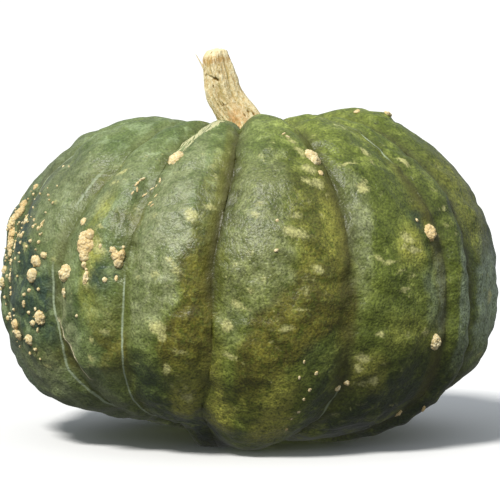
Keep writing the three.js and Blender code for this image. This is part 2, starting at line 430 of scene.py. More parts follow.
# %% Warts on the front
# turn, latitude (degrees), length, width, height (mm), and its lean (degrees) if it has one
WARTS = [
    (2.104, 44.6, 8.5, 7.5, 2.6, 35), (2.135, 46, 4, 3.6, 1.6), (1.265, 69.5, 4, 3, 1.4, -15),
    (1.403, 74.3, 6.4, 6.4, 2.4, 10), (1.474, 73.3, 5.5, 4.6, 2.4, 25),
    (1.445, 76.3, 8, 8.4, 3, -10), (1.477, 79.2, 6, 5, 2.6, -10), (1.499, 81.8, 3.4, 2.4, 1.8),
    (1.53, 83, 1.6, 1.6, 1), (1.53, 85.6, 7, 2.8, 1.6, 5), (1.83, 77.3, 5, 3, 1.8, -50),
    (1.867, 78.9, 4.6, 3.6, 2.2, -40), (1.918, 78.2, 6, 3.6, 2.4, 15),
    (1.903, 80.4, 5, 4.4, 2.4, 5), (1.922, 75.8, 1.8, 1.6, 1), (1.776, 85.5, 2.6, 2.6, 1.3),
    (1.899, 85, 3, 1.6, 0.8), (1.192, 84.5, 7.5, 7.5, 2.9), (1.212, 89.5, 4.8, 2.2, 1.4, 8),
    (1.397, 93.5, 1.7, 1.7, 1), (0.727, 82, 5, 6.5, 2.4, 30), (0.812, 80, 3.2, 3.6, 1.8),
    (0.708, 86, 6.5, 6, 2.7, 20), (0.661, 90, 2, 2, 0.9), (0.793, 89.5, 1.9, 1.8, 0.9),
    (0.614, 92, 3.4, 1.8, 1, 15), (0.737, 93, 2, 1.6, 0.8), (0.793, 95, 7, 6, 2.8),
    (0.708, 96.5, 2.8, 3, 1.2), (0.397, 97.5, 5, 6, 2), (0.416, 100.5, 5.5, 5.5, 1.8),
    (0.643, 101.5, 4.8, 5, 1.7, 10), (0.756, 98.5, 2.6, 1.2, 0.8, 10), (13.86, 60, 3, 3.4, 1.2),
    (13.78, 66.5, 4.8, 5, 1.5, 20), (13.84, 69.2, 7, 6, 1.8, 15), (13.8, 72.6, 7.5, 6, 1.8, -10),
    (13.83, 76, 7, 5.2, 1.6, 10), (13.85, 79, 5.4, 4.6, 1.5), (13.88, 81.5, 4, 3.6, 1.3),
    (13.78, 87, 4.5, 5, 2), (13.82, 90, 4.5, 4, 1.7), (13.84, 98, 2.5, 3, 1.1),
    (0.076, 78.5, 3.4, 2, 1.1, 20), (0.151, 79, 3.2, 1.6, 1, -10), (0.094, 84, 2.5, 2.5, 1),
    (0.113, 88, 4.5, 2.4, 1.2), (0.283, 70.5, 6, 1.5, 1, 15), (0.34, 71, 2.6, 2.4, 1),
    (0.51, 70.5, 1.6, 1.8, 0.9), (0.567, 72.5, 1.8, 1.6, 0.9), (0.661, 71.2, 4.5, 1.3, 1, 12),
    (0.642, 72.7, 2, 1.8, 1), (0.397, 75.5, 2.8, 2.6, 1.2), (0.312, 75.6, 2, 2, 0.9),
    (0.425, 77.5, 1.8, 1.2, 0.8), (1.998, 52, 4.4, 0.9, 0.7, 60), (2.058, 53, 3.4, 0.9, 0.8, -10),
    (2.039, 54.8, 2.4, 0.9, 1, 30), (1.976, 55.8, 4, 0.9, 1.1, 35), (1.93, 58.2, 3.4, 0.9, 0.5, 30),
    (2.011, 58.4, 2.6, 0.9, 1, 40), (1.792, 54, 3.4, 1.2, 0.7, 35), (1.763, 56, 3.2, 1.3, 0.7, 20),
    (1.806, 57.6, 3, 1.1, 0.6, -20), (1.777, 59.2, 2.4, 0.9, 0.5, 10),
    (2.081, 58.5, 3, 0.8, 0.4, 40), (2.062, 61.5, 3.4, 0.8, 0.7, 50),
    (2.122, 62.5, 2.6, 0.8, 0.4, 55), (1.66, 76.3, 2.4, 1.6, 0.6), (3.873, 46, 9.5, 7, 2.3, -12),
    (3.895, 51.5, 3, 2.8, 1.1), (3.437, 68, 1.7, 1.6, 0.8), (3.439, 76.5, 1.7, 2.4, 1, -40),
    (3.597, 38.5, 2.4, 1, 0.6, 50), (3.639, 39.5, 2.4, 0.9, 0.6, -60), (4.779, 68.5, 1.9, 1.7, 1),
    (4.9, 72.5, 7.5, 6.5, 2.8, 15), (4.884, 101.5, 7, 5.5, 2.4, -10), (3.969, 119, 3.6, 3.6, 1.8),
    (4.033, 116.8, 3, 3.4, 1.6), (4.94, 135.5, 3.5, 6, 0.9, 60), (5.403, 130, 1.8, 5, 0.7, 50),
    (6.628, 32.5, 4, 8, 1.1), (6.362, 26, 3, 5, 0.8), (3.648, 105, 1.9, 1.1, 0.6),
    (3.629, 110.5, 1.9, 1.1, 0.6), (3.752, 109.5, 2.2, 1.7, 0.5, 20), (3.723, 116, 2, 1.6, 0.5, 20),
    (3.693, 119.5, 1.7, 1.2, 0.5), (3.694, 125.5, 2, 1.6, 0.5, 20), (3.674, 129.5, 1.7, 1.3, 0.5),
    (3.696, 136.5, 2, 1.6, 0.5),
]

# %% [markdown]
# Between the warts at the left the skin is gritty with pale crumbs, too many to list one
# by one. They fall there by chance, in one loose band above the waist and one below.

# %% Crumbs
CRUMB_COUNT = 120

chance = random.Random(7)
for _ in range(CRUMB_COUNT):
    turn = chance.uniform(-0.3, 0.72)
    latitude = chance.gauss(76 if chance.random() < 0.6 else 95, 9)
    length = chance.uniform(0.7, 1.9)
    width = length * chance.uniform(0.5, 1)
    height = 0.45 + width * 0.5
    WARTS.append((turn % RIB_COUNT, latitude, length, width, height, chance.uniform(-40, 40)))

# %% [markdown]
# The far side gets warts too, thrown by chance from a fixed seed, so that the lesson
# gives the same fruit each time it runs. Most come in small families, as they do on the
# front.

# %% Warts on the far side
FAMILY_COUNT = 26


def scatter_warts(families):
    """Families of one large wart and a few small ones, over the ribs at the back."""
    made = []
    for _ in range(families):
        turn = chance.uniform(6.9, 13.3)
        latitude = chance.gauss(82, 17)
        size = chance.uniform(2.5, 7)
        made.append((turn, latitude, size * 1.15, size, 0.38 * size, chance.uniform(-40, 40)))
        for _ in range(chance.randint(1, 4)):
            small = chance.uniform(1.5, 3)
            spot = (turn + chance.gauss(0, 0.12), latitude + chance.gauss(0, 5))
            made.append((*spot, small, small * 0.8, 0.45 * small, chance.uniform(-60, 60)))
    return made


far_warts = scatter_warts(FAMILY_COUNT)
print("warts on the front:", len(WARTS), "and on the far side:", len(far_warts))

# %% [markdown]
# ## The sheet for the skin
#
# The skin starts as a flat sheet, like a cutting pattern: turn runs across it and
# latitude down it. Its columns crowd together at the grooves, where the skin bends
# sharply, and its rows are spaced evenly along the skin. Then the sheet is wrapped round
# the body and sewn along its seam. A sculpted ball would need thousands of strokes to
# get as regular.

# %% Sheet
COLUMNS_PER_RIB = 30
ROWS = 224

steps = np.arange(RIB_COUNT * COLUMNS_PER_RIB) / COLUMNS_PER_RIB
columns = steps - 0.45 * np.sin(2 * math.pi * steps) / (2 * math.pi)

fine_rows = np.linspace(0, math.pi, 4000)
reach, rise = plain_body(fine_rows)
walked = np.concatenate([[0], np.cumsum(np.hypot(np.diff(reach * HALF_WIDTH), np.diff(rise)))])
rows = np.interp(np.linspace(0, walked[-1], ROWS + 2)[1:-1], walked, fine_rows)

turn = np.tile(columns, ROWS)
latitude = np.repeat(rows, len(columns))
plain_skin = skin_point(turn, latitude)
print("places on the sheet:", len(turn))


# %% Sewing helper
def close_rings(name, rings, start, end):
    """A closed mesh over rings of points in mm, with one more point at each end."""
    sides = len(rings[0])
    points = np.concatenate([*rings, [start, end]])
    first, last = len(points) - 2, len(points) - 1
    top = (len(rings) - 1) * sides
    faces = []
    for side in range(sides):
        beyond = (side + 1) % sides
        faces.append((first, beyond, side))
        for low in range(0, top, sides):
            high = low + sides
            faces.append((low + side, low + beyond, high + beyond, high + side))
        faces.append((top + side, top + beyond, last))
    return add_mesh(name, points, faces)


def add_mesh(name, points, faces):
    """Puts points (mm, in the shape's own frame) and faces into the scene as a piece."""
    mesh = bpy.data.meshes.new(name)
    mesh.from_pydata((points * MM).tolist(), [], faces)
    mesh.shade_smooth()
    return into_scene(name, mesh)


def keep_marks(piece, marks):
    """Stores one number for each vertex under each name, for the finish to read."""
    for name, values in marks.items():
        layer = piece.data.attributes.new(name, "FLOAT", "POINT")
        layer.data.foreach_set("value", np.asarray(values, dtype=np.float32))


# %% [markdown]
# ## Lumps in the skin
#
# The skin is not smooth between the grooves. It looks hammered: broad soft lumps, smaller
# bulges with creases between them, and a fine pebbling. Three layers of noise, each finer
# than the last, push the skin in and out. A fourth swirls them, so that no lump is round.
# The absolute value of a noise has sharp valleys, and that makes the creases.


# %% Hammered skin
# The size of each layer's features and how far they move the skin, in mm
SWIRLS, BROAD_LUMPS, BULGES, PEBBLES = (18, 6), (19, 1.5), (14, 1.7), (6.5, 0.9)


def soft_noise(points, size, seed=0):
    """Noise from about -1 to 1 with lumps of that size in mm."""
    shift = Vector((seed * 7.3, seed * 3.1, seed * 5.7))
    return np.array([noise.noise(Vector(p) / size + shift) for p in points])


def hammered_skin(points, latitude):
    """How far the hammered skin stands proud of the plain skin there, in mm."""
    swirl = np.stack([soft_noise(points, SWIRLS[0], seed) for seed in (21, 22, 23)], axis=-1)
    swirled = points + SWIRLS[1] * swirl
    broad = BROAD_LUMPS[1] * soft_noise(swirled, BROAD_LUMPS[0], 1)
    bulges = np.abs(soft_noise(swirled * (1, 1, 0.8), BULGES[0], 2)) - 0.25
    pebbles = PEBBLES[1] * soft_noise(swirled, PEBBLES[0], 3)
    # The skin is smooth close to the stem and where the fruit rests on the floor.
    fade = smooth(latitude, 0.15, 0.5) * smooth(points[:, 2], 0.5, 9)
    return (broad + BULGES[1] * bulges + pebbles - 0.15) * fade


lumps = hammered_skin(plain_skin, latitude)
print("lumps from", round(float(lumps.min()), 2), "to", round(float(lumps.max()), 2), "mm")

# %% [markdown]
# To lay a wart on the skin we need its place and two directions there: across the rib
# and down it. Their cross product points straight out of the fruit.


# %% Laying things on the skin
def lay(turn, degrees, lean=0.0):
    """Place, across, down and outward directions on the skin, turned by lean degrees."""
    turns = turn + np.array([0, 0.01, -0.01, 0, 0])
    latitudes = math.radians(degrees) + np.array([0, 0, 0, 0.01, -0.01])
    spots = skin_point(turns, latitudes)
    across, down = spots[1] - spots[2], spots[3] - spots[4]
    across /= np.linalg.norm(across)
    down -= across * (down @ across)
    down /= np.linalg.norm(down)
    outward = np.cross(down, across)
    turned = math.radians(lean)
    side = across * math.cos(turned) + down * math.sin(turned)
    along = down * math.cos(turned) - across * math.sin(turned)
    lift = hammered_skin(spots[:1], latitudes[:1])[0]
    return spots[0] + outward * lift, side, along, outward


# %% [markdown]
# ## Crumbly warts
#
# A wart is not one dome but a crowd of lumps, like popcorn. We start from a ball of
# points and send a ray from its middle through each point. A ray ends where it leaves the
# last lump in its way, so the lumps merge with sharp creases between them, as popcorn
# does. The ball's lower half stays under the skin. Metaballs would blend the lumps too
# softly for dry cork.


# %% Wart shape
def ball(cuts):
    """Points on a ball of radius 1, and its triangles."""
    made = bmesh.new()
    bmesh.ops.create_icosphere(made, subdivisions=cuts, radius=1)
    points = np.array([v.co[:] for v in made.verts])
    faces = [[v.index for v in f.verts] for f in made.faces]
    made.free()
    return points, faces


BALLS = {cuts: ball(cuts) for cuts in (3, 4, 5)}
SMALL_WART, LARGE_WART = 3, 6.5  # mm; a larger wart starts from a finer ball
WART_ROOT = -1.1  # mm; no wart reaches deeper into the skin
CORE_SHARE = 0.96  # of a wart's size is a plain core under its lumps
LUMP_AREA = 1.5  # mm2 of the wart for each lump
CREASE_WIDTH = 0.18  # mm


def crowded_ball(rays, length, width, height):
    """Each ray's reach to the outside of a crowd of lumps, and how deep its crease is."""
    half = np.array([width, length, 2 * height]) / 2
    reach = 1 / np.sqrt(((rays / (half * CORE_SHARE)) ** 2).sum(1))
    inner = np.zeros(len(rays))
    for _ in range(int(9 + length * width / LUMP_AREA)):
        angle, level = chance.uniform(0, 2 * math.pi), chance.uniform(-0.1, 1) ** 2
        flat = math.sqrt(1 - level * level)
        aim = np.array([math.cos(angle) * flat, math.sin(angle) * flat, level])
        size = min(length, width) * chance.uniform(0.07, 0.18) + 0.15
        middle = aim * (half - size * 0.8)
        toward = rays @ middle
        hit = toward**2 - middle @ middle + size**2
        end = np.where((hit > 0) & (toward > 0), toward + np.sqrt(np.maximum(hit, 0)), 0)
        inner = np.maximum(inner, np.minimum(reach, end))
        reach = np.maximum(reach, end)
    return reach, np.exp(-(reach - inner) / CREASE_WIDTH)


def grow_warts(name, rows):
    """One piece with every wart of the rows standing on the skin."""
    all_points, all_faces, creases, tones = [], [], [], []
    count = 0
    for turn, degrees, length, width, height, *lean in rows:
        spot, side, along, outward = lay(turn, degrees, *lean)
        size = max(length, width)
        rays, faces = BALLS[3 + (size > SMALL_WART) + (size > LARGE_WART)]
        reach, crease = crowded_ball(rays, length, width, height)
        # Each wart is lopsided, and crumbles at two finer sizes.
        reach = reach * (1.06 + 0.18 * soft_noise(rays + spot, 0.8, 6))
        crust = rays * reach[:, None] + spot
        crumbs = 0.34 * soft_noise(crust, 1.3, 4) + 0.2 * soft_noise(crust, 0.6, 5)
        shape = rays * (reach + crumbs * min(1, size / 4))[:, None]
        shape[:, 2] = np.maximum(shape[:, 2], WART_ROOT)
        all_points.append(spot + shape @ np.array([side, along, outward]))
        all_faces += [[corner + count for corner in face] for face in faces]
        creases.append(crease * (shape[:, 2] > 0))
        tones.append(np.full(len(rays), chance.random() * min(1, size / 4)))
        count += len(rays)
    piece = add_mesh(name, np.concatenate(all_points) + TO_FRAME, all_faces)
    keep_marks(piece, {"crease": np.concatenate(creases), "tone": np.concatenate(tones)})
    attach(piece, "root")
    print(name, "has", len(all_faces), "triangles")
    return piece


front_warts = grow_warts("front_warts", WARTS)
back_warts = grow_warts("back_warts", far_warts)

# %% [markdown]
# The skin round a wart rises a little to meet it, and is painted dark there as the wart's
# shade. One number for each place, the halo, marks the skin close to a wart and does both
# jobs.

# %% Skin near the warts
def around(reach, at_turn, at_degrees, *lean):
    """The places within reach of a spot, and how far across and down from it they lie."""
    spot, side, along, _ = lay(at_turn, at_degrees, *lean)
    away = plain_skin - spot
    near = np.flatnonzero((away**2).sum(1) < reach**2)
    return near, away[near] @ side, away[near] @ along


halo = np.zeros(len(turn))
for at_turn, at_degrees, length, width, height, *lean in WARTS + far_warts:
    near, aside, down = around(max(length, width) * 1.3 + 4, at_turn, at_degrees, *lean)
    off = np.hypot(aside / (width / 2 + 1), down / (length / 2 + 1))
    weight = min(1, height / 1.5)
    halo[near] = np.maximum(halo[near], weight * np.exp(-((off / 1.1) ** 4)))
relief = 0.45 * halo
print("places close to a wart:", int((halo > 0.5).sum()))

# %% [markdown]
# ## Creases and the split
#
# Some grooves end in a hair-thin pale crease, where the skin has healed. Low on the left
# the skin has split open beside a groove, and the split has a pale lip of its own. The
# finish draws such lines from a signed distance: how many millimetres a place lies to
# one side of the line. Blender blends that number across each face, so the line can be
# finer than the mesh.

# %% Distance to the grooves and the split
SPLIT_GROOVE = 1
FAR_OFF = 20  # mm, where there is no lip
SPLIT_LATITUDES = (94, 97, 101, 106, 110, 114, 119)  # degrees
SPLIT_LEFT = (-2.6, -1.8, -0.7, -1.8, -3, -3.6, -3.1)  # mm from the groove
SPLIT_RIGHT = (-2.2, 3.5, 9.5, 14.5, 15.5, 16.5, 17.5)

degrees = np.degrees(latitude)
rib_width = 2 * math.pi * HALF_WIDTH / RIB_COUNT * plain_body(latitude)[0]
from_groove = (turn - np.round(turn)) * rib_width
nearest = np.round(turn).astype(int) % RIB_COUNT
by_groove = np.exp(-((from_groove / 4) ** 2))

beside_split = (nearest == SPLIT_GROOVE) & (degrees > 88) & (degrees < 122)
from_right = from_groove - np.interp(degrees, SPLIT_LATITUDES, SPLIT_RIGHT)
from_lip = np.where(beside_split, from_right, FAR_OFF)
from_left = from_groove - np.interp(degrees, SPLIT_LATITUDES, SPLIT_LEFT)
inside = smooth(from_left, 0.2, 1.8) * smooth(-from_lip, 0.2, 1.2)
in_split = np.where(beside_split, inside, 0) * smooth(-degrees, -119, -112)
lip = beside_split * smooth(degrees, 94, 97) * smooth(-degrees, -119, -115)
relief += 0.4 * np.exp(-(from_lip**2) / 0.9) * lip - 0.5 * in_split
relief += 0.9 * np.exp(-((from_groove / 2.2) ** 2)) * smooth(latitude, 0.3, 0.6)

# %% Put the relief on the skin
top_middle, low_middle = skin_point(np.array([0.0, 0.0]), np.array([1e-4, math.pi - 1e-4]))
rings = (plain_skin + TO_FRAME).reshape(ROWS, -1, 3)
skin = close_rings("pumpkin_skin", rings, top_middle + TO_FRAME, low_middle + TO_FRAME)
skin_mesh = skin.data
skin_mesh.flip_normals()  # its rows run down, so its faces were made inside out
normals = np.array([v.vector[:] for v in skin_mesh.vertex_normals])[: len(turn)]
moved = plain_skin + normals * (lumps + relief)[:, None] + TO_FRAME
moved[:, 2] = np.maximum(moved[:, 2], 0)
for vertex, point in zip(skin_mesh.vertices, moved * MM):
    vertex.co = point
skin_mesh.update()
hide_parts("fruit")
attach(skin, "root")
print("skin triangles:", sum(len(f.vertices) - 2 for f in skin_mesh.polygons))

# %% [markdown]
# ## Where each colour lies
#
# The colours of the skin lie in zones that follow the ribs. A grey-green zone covers the
# near side of a rib and stops at a ragged edge: partly the fruit's own waxy bloom, partly
# a painted sheen on shoulders that face the light. Beyond it the skin ripened to olive
# brown, and underneath, out of the sun, to yellow green. The far left is almost teal, and
# the same dark teal is painted as shade low on the belly and round some warts. Pale
# blue-grey zones on the ribs at the right and at the far left below the waist are painted
# reflections of the sky. We draw each zone by its left and right edge, in turns, at a few
# latitudes, as one would sketch it in chalk, and let noise fray the edges. The seven ribs
# at the back repeat the zones of the seven at the front.


# %% Zones
def zones(drawn, seed, soft=0.035):
    """How much each place lies in the zones, each a list of rows as drawn below."""
    fray = 0.05 * soft_noise(plain_skin, 11, seed) + 0.03 * soft_noise(plain_skin, 4.5, seed + 1)
    along = degrees + 40 * fray
    total = np.zeros(len(turn))
    for rows in drawn:
        at, left, right, strength = np.array([(*row, 0)[:4] for row in rows]).T
        left, right = np.interp(degrees, at, left), np.interp(degrees, at, right)
        share = np.interp(along, at, strength, left=0, right=0)
        for lap in (0, RIB_COUNT // 2, RIB_COUNT):
            here = turn - lap + fray
            inside = smooth(here - left, -soft, soft) * smooth(right - here, -soft, soft)
            total = np.maximum(total, share * inside)
    return total


# Each row: latitude (degrees), left edge and right edge (turns), and strength. A row with
# no strength is where the zone has faded out.
# Grey-green zones: partly the waxy bloom, partly painted sheen where the shoulders face the light.
WAX_AND_PAINTED_SHINE = [
    [(36, 2.13, 2.53), (50, 2.08, 2.65, 0.7), (60, 2.07, 2.61, 0.8), (68, 2.07, 2.67, 0.9),
     (73, 2.06, 2.74, 1), (78, 2.06, 2.6, 1), (84, 2.05, 2.67, 1), (90, 2.04, 2.64, 0.9),
     (95, 2.04, 2.45, 0.7), (102, 2.04, 2.3)],
    [(40, 3.1, 3.42), (50, 3.08, 3.53, 0.5), (60, 3.11, 3.51, 0.5), (70, 3.1, 3.48, 0.6),
     (77, 3.09, 3.59, 0.65), (81, 3.09, 3.54, 0.65), (86, 3.08, 3.53, 0.5), (90, 3.06, 3.48, 0.4),
     (93, 3.05, 3.25, 0.5), (106, 3.04, 3.15)],
    [(48, 4.05, 4.24), (56, 4.05, 4.35, 0.6), (64, 4.03, 4.27, 0.9), (72, 4.03, 4.24, 1),
     (80, 4.03, 4.19, 0.8), (94, 4.03, 4.11)],
    [(40, 1.03, 1.84), (52, 1.1, 1.84, 0.5), (62, 1.04, 1.42, 0.6), (72, 1.04, 1.33, 0.5),
     (80, 1.04, 1.23, 0.3), (84, 1.04, 1.23)],
    [(82, 1.04, 1.23), (90, 1.04, 1.23, 1), (102, 1.05, 1.29, 1), (114, 1.07, 1.33, 0.6),
     (140, 1.04, 1.84, 0.4), (150, 1.04, 1.84)],
    [(84, 1.03, 1.27), (90, 1.03, 1.33, 0.5), (98, 1.05, 1.39, 0.6), (106, 1.13, 1.44)],
    [(40, -0.5, 0.87), (52, -0.5, 0.87, 0.5), (64, 0.28, 0.94, 0.5), (74, 0.47, 0.98, 0.6),
     (80, 0.66, 1, 0.3), (84, 0.76, 1)],
    [(104, 0.1, 0.87), (114, 0.05, 0.87, 0.7), (140, 0.05, 0.88, 0.5), (150, 0.1, 0.88)],
    [(34, 2.23, 2.59), (38, 2.27, 2.57, 0.6), (50, 2.24, 2.59, 0.6), (56, 2.24, 2.54)],
]
OLIVE = [
    [(36, 2.65, 3), (46, 2.68, 3, 0.5), (60, 2.66, 3, 0.5), (70, 2.7, 3, 0.6), (80, 2.64, 3, 0.9),
     (90, 2.68, 3, 1), (95, 2.47, 3, 1), (101, 2.4, 3, 1), (108, 2.45, 3, 0.8), (120, 2.56, 2.87)],
    [(48, 3.58, 3.98), (56, 3.54, 3.98, 0.5), (66, 3.52, 4, 0.6), (76, 3.62, 4, 0.8),
     (86, 3.55, 4, 0.9), (92, 3.29, 3.98, 1), (100, 3.19, 3.74, 1), (110, 3.17, 3.48, 0.9),
     (122, 3.2, 3.41, 0.6), (136, 3.24, 3.39)],
    [(82, 3.94, 4.03), (89, 3.9, 4.05, 1), (98, 3.9, 4.03, 0.7), (104, 3.9, 4)],
    [(42, 3.06, 3.98), (52, 3.06, 3.98, 0.3), (84, 3.05, 4, 0.4), (94, 3.05, 4)],
    [(88, 1.64, 1.98), (95, 1.54, 1.98, 0.5), (103, 1.74, 2, 0.9), (110, 1.64, 2, 0.6),
     (122, 1.63, 2)],
    [(46, 0.76, 1), (54, 0.8, 1, 0.5), (66, 0.8, 1)],
    [(60, 1.68, 2), (66, 1.68, 2.06, 0.6), (76, 1.74, 2.06)],
    [(58, 4.79, 4.99), (66, 4.79, 5, 0.6), (76, 4.87, 5, 0.5), (84, 4.86, 5)],
    [(100, 0.66, 0.94), (108, 0.66, 0.97, 0.6), (116, 0.67, 0.94)],
]
LEAF = [
    [(106, 2.65, 3), (115, 2.63, 2.98, 0.6), (123, 2.58, 2.97, 0.9), (138, 2.57, 2.91, 0.9),
     (150, 2.57, 2.88)],
    [(94, 3.02, 3.08), (104, 3.02, 3.09, 0.6), (116, 3.02, 3.1, 0.8), (124, 3.03, 3.18, 0.9),
     (132, 3.04, 3.24, 1), (140, 3.04, 3.24, 1), (150, 3.05, 3.19)],
    [(106, 3.44, 3.61), (114, 3.42, 3.61, 0.8), (128, 3.39, 3.67, 1), (140, 3.39, 3.7, 1),
     (150, 3.39, 3.7)],
    [(56, 3.77, 3.96), (62, 3.77, 3.97, 0.6), (74, 3.81, 3.97, 0.6), (84, 3.85, 3.96)],
    [(102, 4.02, 4.32), (108, 4.02, 4.37, 0.7), (116, 4.05, 4.33, 0.7), (124, 4.05, 4.33)],
    [(68, 4.56, 4.76), (74, 4.5, 4.77, 0.7), (79, 4.5, 4.76, 0.7), (84, 4.43, 4.75)],
    [(92, 4.32, 4.86), (98, 4.32, 4.86, 0.4), (106, 4.32, 4.87)],
    [(56, 1.31, 1.54), (63, 1.32, 1.55, 0.6), (70, 1.33, 1.53, 0.2), (78, 1.5, 1.74, 0.7),
     (90, 1.44, 1.66, 0.4), (96, 1.44, 1.64)],
    [(44, 6.07, 6.56), (56, 6.07, 6.56, 0.4), (76, 6.07, 6.56, 0.4), (86, 6.17, 6.56)],
]
# Dark teal: the real colour of the far left, and painted shade low on the belly, by the knob and round
# some warts.
TEAL_AND_PAINTED_SHADE = [
    [(50, -0.1, 0.19), (60, -0.1, 0.28, 0.8), (70, -0.1, 0.52, 1), (78, -0.1, 0.66, 1),
     (84, -0.1, 0.94, 1), (93, -0.1, 0.99, 1), (100, 0, 0.98, 0.8), (108, 0.19, 0.87, 0.4),
     (116, 0.19, 0.87)],
    [(55, 6.65, 7), (72, 6.47, 7, 0.7), (104, 6.47, 7, 0.7), (120, 6.66, 7)],
    [(80, 1.54, 1.94), (82, 1.54, 1.94, 0.9), (86, 1.56, 1.91, 0.9), (89, 1.54, 1.86)],
    [(84, 1, 1.23), (92, 1, 1.44, 0.4), (102, 1.05, 1.44, 0.4), (108, 1.13, 1.44)],
    [(100, 2.02, 2.25), (110, 2.02, 2.37, 0.5), (122, 2.02, 2.46, 0.5), (150, 2, 2.57, 0.5),
     (160, 2, 2.57)],
    [(98, 3.59, 3.85), (103, 3.63, 3.98, 0.3), (110, 3.75, 4.02, 0.5), (124, 3.75, 4.02, 0.6),
     (140, 3.8, 4.05, 0.8), (150, 3.8, 4)],
    [(106, 4.54, 6.03), (116, 4.33, 6.04, 0.6), (150, 4, 6.07, 0.8), (160, 4, 6.07)],
    [(63, 4.7, 4.84), (66, 4.67, 4.85, 0.8), (70, 4.71, 4.89, 0.8), (74, 4.79, 4.87)],
    [(140, 2.57, 3.09), (150, 2.57, 3.19, 1), (172, 2.57, 3.19, 1), (176, 2.57, 3.19)],
]
# Painted reflections: pale blue-grey glints of the sky on the glossy ribs at the right, and on the far
# left below the waist.
PAINTED_REFLECTIONS = [
    [(74, 4.93, 4.97), (80, 4.9, 4.985, 0.7), (88, 4.885, 4.99, 1), (94, 4.885, 4.99, 1),
     (99, 4.92, 4.99, 0.8), (104, 4.95, 4.99)],
    [(80, 4.8, 4.9), (87, 4.74, 4.92, 0.4), (94, 4.75, 4.92, 0.4), (100, 4.8, 4.92)],
    [(72, 5.5, 5.7), (78, 5.45, 5.8, 0.5), (86, 5.4, 5.88, 0.8), (94, 5.34, 5.88, 0.8),
     (104, 5.28, 5.86, 0.6), (116, 5.2, 5.8)],
    [(102, -0.45, -0.02), (110, -0.4, 0, 0.5), (130, -0.3, 0.1, 0.5), (142, -0.3, 0.1)],
    [(74, 6.28, 6.64), (84, 6.14, 6.66, 1), (100, 6.1, 6.66, 0.9), (118, 6.12, 6.66)],
]
wax_and_painted_shine = zones(WAX_AND_PAINTED_SHINE, 11)
olive = zones(OLIVE, 13)
leaf = zones(LEAF, 15, soft=0.06)
teal_and_painted_shade = zones(TEAL_AND_PAINTED_SHADE, 17, soft=0.06)
painted_reflection = zones(PAINTED_REFLECTIONS, 19)
print("share of the skin under bloom:", round(float(wax_and_painted_shine.mean()), 2))

# %% [markdown]
# Pale flecks lie on the skin like torn scraps of mist. Those that catch the eye have
# rows of their own, and the rest fall by chance.

